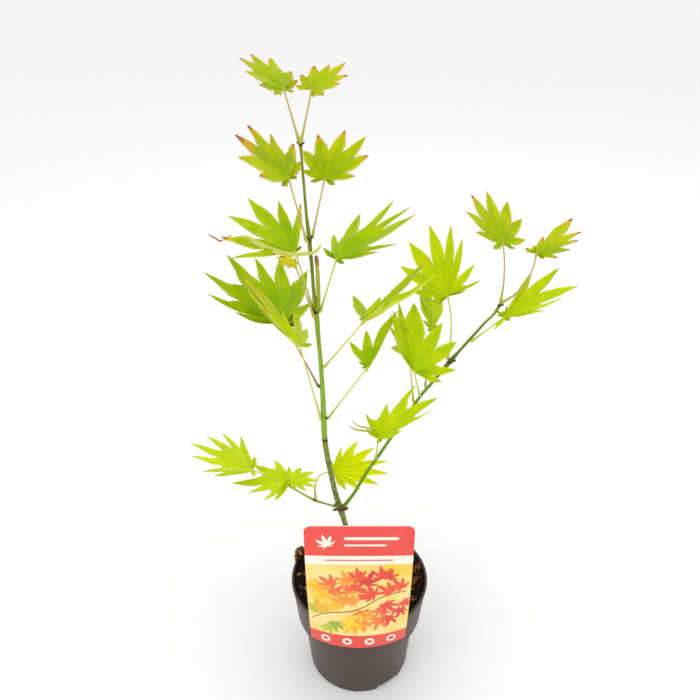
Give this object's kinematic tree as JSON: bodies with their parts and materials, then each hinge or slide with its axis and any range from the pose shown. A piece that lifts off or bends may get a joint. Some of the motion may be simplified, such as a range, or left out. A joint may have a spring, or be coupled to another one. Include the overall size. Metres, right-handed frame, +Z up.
{
  "type": "potted japanese maple",
  "caption": "Young japanese maple with a slim leaning trunk, one long side bough and open lobed leaves, in a round nursery pot with a plain care card hooked on its rim.",
  "frame": {"origin": "centre of the pot's flat underside", "axes": "+Z up along the pot's axis; -Y is the front, where the care card hangs; the long bough leans to +X"},
  "size_m": [0.3144, 0.1406, 0.5799],
  "materials": {
    "pot_plastic": "moulded warm grey polypropylene, satin, faintly scuffed",
    "compost": "moist dark compost with bark chips",
    "card_print": "printed plastic card with a plain leaf pattern, no lettering",
    "bark": "young green-brown bark with pale flecks and dark rings at the nodes",
    "green_shoot": "smooth green shoot",
    "dead_wood": "dry snag, brown at its cut tip",
    "foliage": "lime green leaves, darker veins, some red-brown tips"
  },
  "bodies": {
    "root": {"pot": "pot_plastic", "compost": "compost", "care_label": "card_print", "trunk": "bark", "right_bough": "green_shoot", "left_twig": "green_shoot", "dead_stub": "dead_wood", "leaves_top": "foliage", "leaf_second_left": "foliage", "leaf_second_right": "foliage", "leaf_third_left": "foliage", "leaf_third_small": "foliage", "leaf_third_right": "foliage", "leaf_fourth_left_back": "foliage", "leaf_fourth_left_front": "foliage", "leaf_fourth_right": "foliage", "leaf_fifth_right": "foliage", "leaf_bough_upper": "foliage", "leaves_bough_tip": "foliage", "leaf_bough_outer": "foliage", "leaf_bough_front": "foliage", "leaf_bough_back": "foliage", "leaf_bough_inner": "foliage", "leaf_bough_low": "foliage", "leaf_inner_right": "foliage", "leaves_left_twig": "foliage"}
  },
  "joints": []
}
